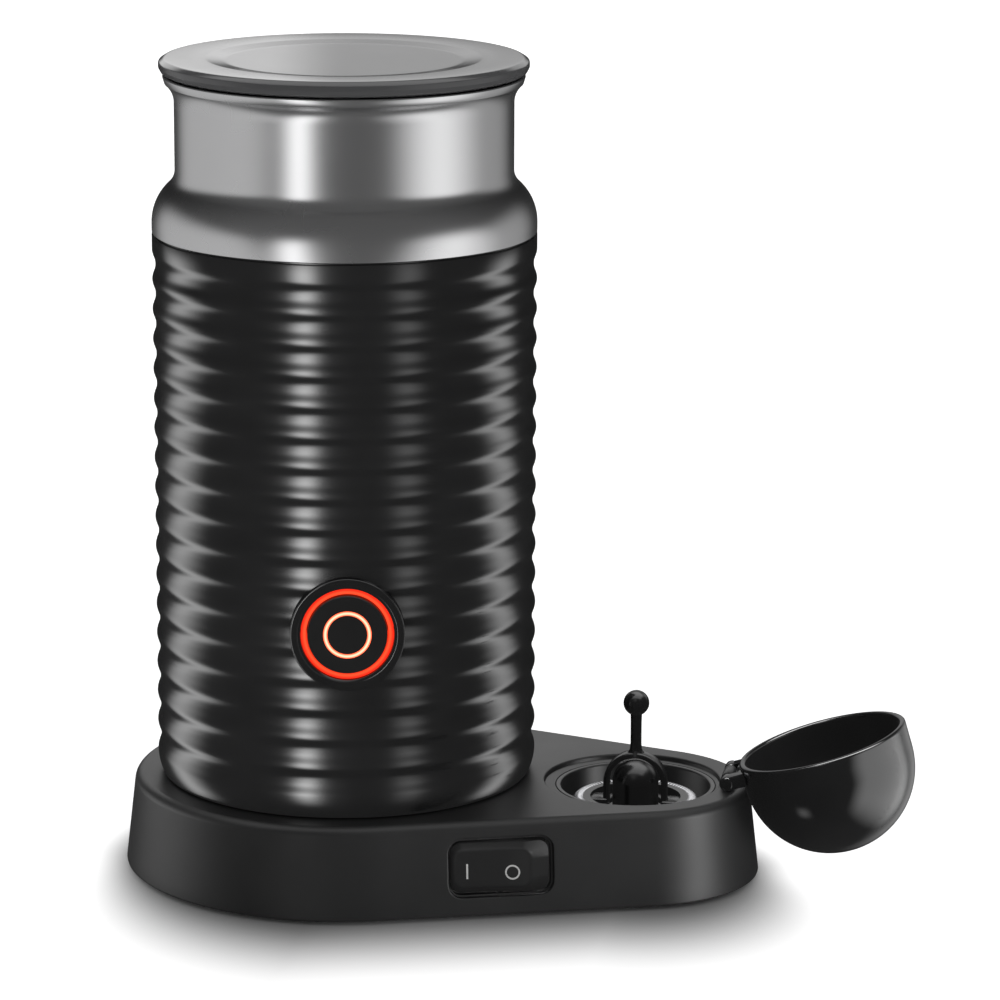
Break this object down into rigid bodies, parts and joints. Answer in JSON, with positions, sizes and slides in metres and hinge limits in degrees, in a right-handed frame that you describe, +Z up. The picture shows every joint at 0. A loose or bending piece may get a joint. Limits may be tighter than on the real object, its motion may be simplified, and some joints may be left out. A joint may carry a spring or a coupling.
{
  "type": "milk frother",
  "caption": "Countertop electric milk frother: a ribbed jug with steel collar and lid on a powered base, with a hinged cover over a whisk well.",
  "frame": {"origin": "the jug's axis at table level", "axes": "+Z up, +X from the jug towards the whisk well, -Y towards the rocker switch at the front"},
  "size_m": [0.1721, 0.0974, 0.1765],
  "materials": {
    "housing": "fine satin-matt moulded black plastic",
    "base_plate": "matt moulded black plastic",
    "well_black": "satin black plastic",
    "inner_black": "matt black plastic",
    "sleeve": "satin-gloss black plastic",
    "gloss_black": "polished black plastic",
    "rocker_black": "satin black plastic with white printed marks",
    "button_black": "satin black",
    "collar_steel": "satin polished stainless steel",
    "lid_grey": "smoky translucent grey plastic",
    "seal_grey": "grey silicone",
    "rubber": "matt rubber",
    "pot_coating": "dark non-stick coating on pressed metal",
    "aluminium": "bare cast aluminium",
    "element_steel": "sheathed element, oxidised",
    "screw_steel": "zinc-plated steel",
    "motor_steel": "plated steel",
    "coil_steel": "bright spring wire",
    "magnet": "nickel-plated magnet",
    "brass": "contact brass",
    "board": "green circuit board",
    "pale_plastic": "natural moulded plastic",
    "light_red": "lit orange-red light guide",
    "light_white": "lit pale light guide"
  },
  "bodies": {
    "base": {"base_housing": "housing", "base_plate": "base_plate", "foot_ring": "rubber", "foot_pads": "rubber", "base_screws": "screw_steel", "connector_post": "inner_black", "connector_contacts": "brass", "whisk_well": "well_black", "whisk_post": "gloss_black", "hinge_pin": "screw_steel", "switch_frame": "inner_black", "switch_body": "inner_black", "switch_terminals": "brass", "cord_gland": "inner_black", "gland_nut": "inner_black", "terminal_block": "pale_plastic"},
    "cover": {"whisk_cover": "gloss_black"},
    "rocker": {"switch_rocker": "rocker_black"},
    "whisk": {"whisk_frame": "gloss_black", "whisk_coil": "coil_steel", "whisk_magnets": "magnet"},
    "jug": {"jug_sleeve": "sleeve", "jug_collar": "collar_steel", "collar_seal": "rubber", "milk_pot": "pot_coating", "pot_gasket": "rubber", "jug_bottom": "inner_black", "bottom_screws": "screw_steel", "jug_socket": "inner_black", "socket_pins": "brass", "heater_plate": "aluminium", "heater_element": "element_steel", "thermal_cutout": "pale_plastic", "temperature_probe": "screw_steel", "motor": "motor_steel", "motor_bracket": "motor_steel", "motor_screws": "screw_steel", "control_board": "board", "tact_switch": "inner_black", "status_leds": "pale_plastic", "power_board": "board", "power_parts": "inner_black", "button_bezel": "gloss_black", "button_light_ring": "light_red"},
    "button": {"button_cap": "button_black", "button_inner_ring": "light_white"},
    "drive": {"drive_shaft": "screw_steel", "drive_carrier": "pale_plastic", "drive_magnets": "magnet"},
    "stirrer": {"stirrer_frame": "gloss_black", "stirrer_magnets": "magnet"},
    "lid": {"lid_disc": "lid_grey", "lid_seal": "seal_grey"}
  },
  "joints": [
    {"name": "jug_lift", "type": "slide", "parent": "base", "child": "jug", "axis": [0, 0, 1], "range_m": [0, 0.06]},
    {"name": "lid_lift", "type": "slide", "parent": "jug", "child": "lid", "axis": [0, 0, 1], "range_m": [0, 0.04]},
    {"name": "button_press", "type": "slide", "parent": "jug", "child": "button", "axis": [-0.1874, 0.9823, 0], "range_m": [0, 0.0008], "stiffness_N_per_m": 1500},
    {"name": "drive_spin", "type": "hinge", "parent": "jug", "child": "drive", "pos_m": [0, 0, 0.075], "axis": [0, 0, 1], "continuous": true},
    {"name": "stirrer_spin", "type": "hinge", "parent": "jug", "child": "stirrer", "pos_m": [0, 0, 0.09], "axis": [0, 0, 1], "continuous": true},
    {"name": "cover_hinge", "type": "hinge", "parent": "base", "child": "cover", "pos_m": [0.084, 0, 0.0225], "axis": [0, -1, 0], "range_deg": [0, 163.4]},
    {"name": "rocker_tilt", "type": "hinge", "parent": "base", "child": "rocker", "pos_m": [0.03869, -0.03329, 0.01066], "axis": [-0.0372, 0.1086, 0.9934], "range_deg": [0, 14]},
    {"name": "whisk_lift", "type": "slide", "parent": "base", "child": "whisk", "axis": [0, 0, -1], "range_m": [-0.04, 0]}
  ],
  "couplings": [
    {"joint": "stirrer_spin", "follows": "drive_spin", "ratio": 1}
  ]
}
